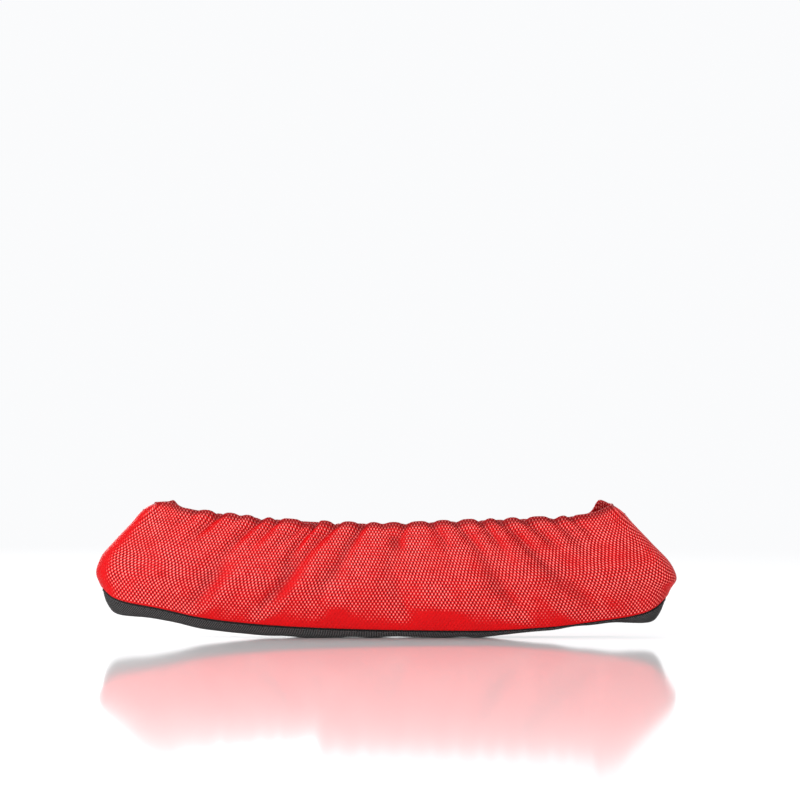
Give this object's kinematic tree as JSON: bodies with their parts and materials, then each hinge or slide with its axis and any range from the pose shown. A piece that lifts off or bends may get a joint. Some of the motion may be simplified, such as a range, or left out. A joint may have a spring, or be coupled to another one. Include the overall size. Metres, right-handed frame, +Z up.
{
  "type": "skate blade guard",
  "caption": "Soft boat-shaped cloth guard for an ice skate's blade, gathered on an elastic at its mouth, with ribbed webbing along the sole.",
  "frame": {"origin": "on the floor at the middle of the guard's length and width, as it stands on its webbing", "axes": "+X along the length from toe to heel, +Y across it to the right side, +Z up out of the mouth"},
  "size_m": [0.3151, 0.041, 0.0741],
  "materials": {
    "red_nylon": "woven nylon with a dotted weave and a soft sheen",
    "webbing": "black webbing with fine cross ribs",
    "guard_strip": "dense matt tape",
    "terry": "looped absorbent pile",
    "binding_tape": "matt woven tape",
    "elastic": "braided elastic",
    "red_thread": "twisted thread",
    "black_thread": "twisted thread"
  },
  "bodies": {
    "sole": {"sole_webbing": "webbing", "cut_guard_strip": "guard_strip", "blade_bed_pad": "terry", "toe_seam_binding": "binding_tape", "heel_seam_binding": "binding_tape", "sole_stitching_left": "black_thread", "sole_stitching_right": "black_thread"},
    "left_side": {"outer_panel_left": "red_nylon", "lining_left": "terry", "mouth_elastic_left": "elastic", "hem_stitching_left": "red_thread"},
    "right_side": {"outer_panel_right": "red_nylon", "lining_right": "terry", "mouth_elastic_right": "elastic", "hem_stitching_right": "red_thread"}
  },
  "joints": [
    {"name": "left_mouth_spread", "type": "hinge", "parent": "sole", "child": "left_side", "pos_m": [0, -0.0135, 0.004], "axis": [1, 0, 0], "range_deg": [0, 18], "stiffness_Nm_per_rad": 1},
    {"name": "right_mouth_spread", "type": "hinge", "parent": "sole", "child": "right_side", "pos_m": [0, 0.0135, 0.004], "axis": [-1, 0, 0], "range_deg": [0, 18], "stiffness_Nm_per_rad": 1}
  ]
}
